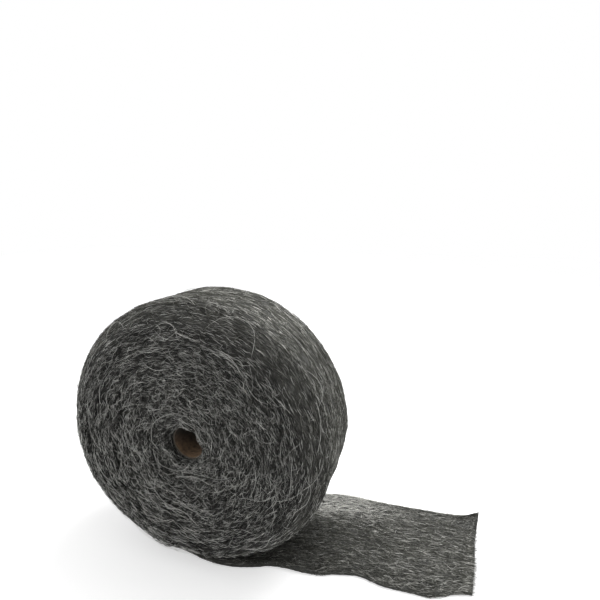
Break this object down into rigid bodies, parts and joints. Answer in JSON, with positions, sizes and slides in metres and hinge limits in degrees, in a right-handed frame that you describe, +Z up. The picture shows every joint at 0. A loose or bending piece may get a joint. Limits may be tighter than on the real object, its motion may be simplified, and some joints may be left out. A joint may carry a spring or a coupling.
{
  "type": "steel wool roll",
  "caption": "Steel wool strip wound on an open cardboard core, with its loose end lying out flat, torn off in lengths for scouring, polishing and stripping.",
  "frame": {"origin": "on the table under the axis of the cardboard core, halfway across the roll", "axes": "+Y runs along the core's axis to the back of the roll, +X points the way the loose end lies, +Z is up"},
  "size_m": [0.3378, 0.1197, 0.2148],
  "materials": {
    "steel_wool": "dark grey matted steel fibres, dull with fine bright strands",
    "cardboard": "plain brown wound paper, matt"
  },
  "bodies": {
    "root": {"wool_strip": "steel_wool", "cardboard_core": "cardboard"}
  },
  "joints": []
}
